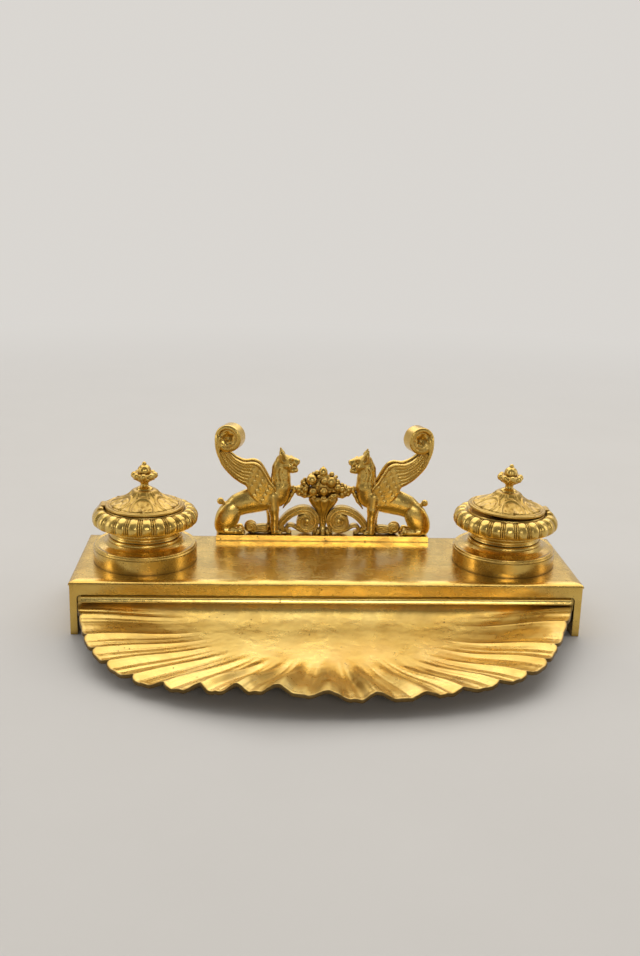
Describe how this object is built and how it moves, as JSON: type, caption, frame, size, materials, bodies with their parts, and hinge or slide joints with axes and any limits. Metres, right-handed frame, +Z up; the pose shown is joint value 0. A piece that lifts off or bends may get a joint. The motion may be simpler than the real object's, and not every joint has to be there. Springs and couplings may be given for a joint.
{
  "type": "desk inkstand",
  "caption": "Gilt bronze desk inkstand: lidded gadrooned inkwells on a low casing, a scallop shell pen tray and a pair of winged griffins with a heap of fruit",
  "frame": {"origin": "centre of the bounding box, on the table", "axes": "+X to the right along the casing, +Y to the back, where the griffins stand, +Z up"},
  "size_m": [0.32, 0.203, 0.116],
  "materials": {
    "bronze": "polished fire gilding on cast bronze, with darker gilding in the hollows",
    "fixings": "dull brown brass screws, nuts and pins",
    "glass": "clear glass with a ground upper face"
  },
  "bodies": {
    "base": {"casing": "bronze", "shell_tray": "bronze", "tray_screws": "fixings", "drum_left": "bronze", "drum_right": "bronze", "drum_screws": "fixings", "griffin_plinth": "bronze", "plinth_nuts": "fixings", "griffin_left": "bronze", "griffin_right": "bronze", "scroll_left": "bronze", "scroll_right": "bronze", "fruit_stand": "bronze", "fruit_heap": "bronze"},
    "left_well": {"collar_left": "bronze", "ink_pot_left": "glass", "hinge_pin_left": "fixings"},
    "right_well": {"collar_right": "bronze", "ink_pot_right": "glass", "hinge_pin_right": "fixings"},
    "left_lid": {"lid_left": "bronze", "finial_left": "bronze", "finial_nut_left": "fixings"},
    "right_lid": {"lid_right": "bronze", "finial_right": "bronze", "finial_nut_right": "fixings"}
  },
  "joints": [
    {"name": "left_well_lift", "type": "slide", "parent": "base", "child": "left_well", "axis": [0, 0, 1], "range_m": [0, 0.05]},
    {"name": "right_well_lift", "type": "slide", "parent": "base", "child": "right_well", "axis": [0, 0, 1], "range_m": [0, 0.05]},
    {"name": "left_lid_hinge", "type": "hinge", "parent": "left_well", "child": "left_lid", "pos_m": [-0.1443, 0.0517, 0.0692], "axis": [0, -1, 0], "range_deg": [0, 100]},
    {"name": "right_lid_hinge", "type": "hinge", "parent": "right_well", "child": "right_lid", "pos_m": [0.14445, 0.0517, 0.06914], "axis": [0, 1, 0], "range_deg": [-2.5, 97.5]}
  ]
}
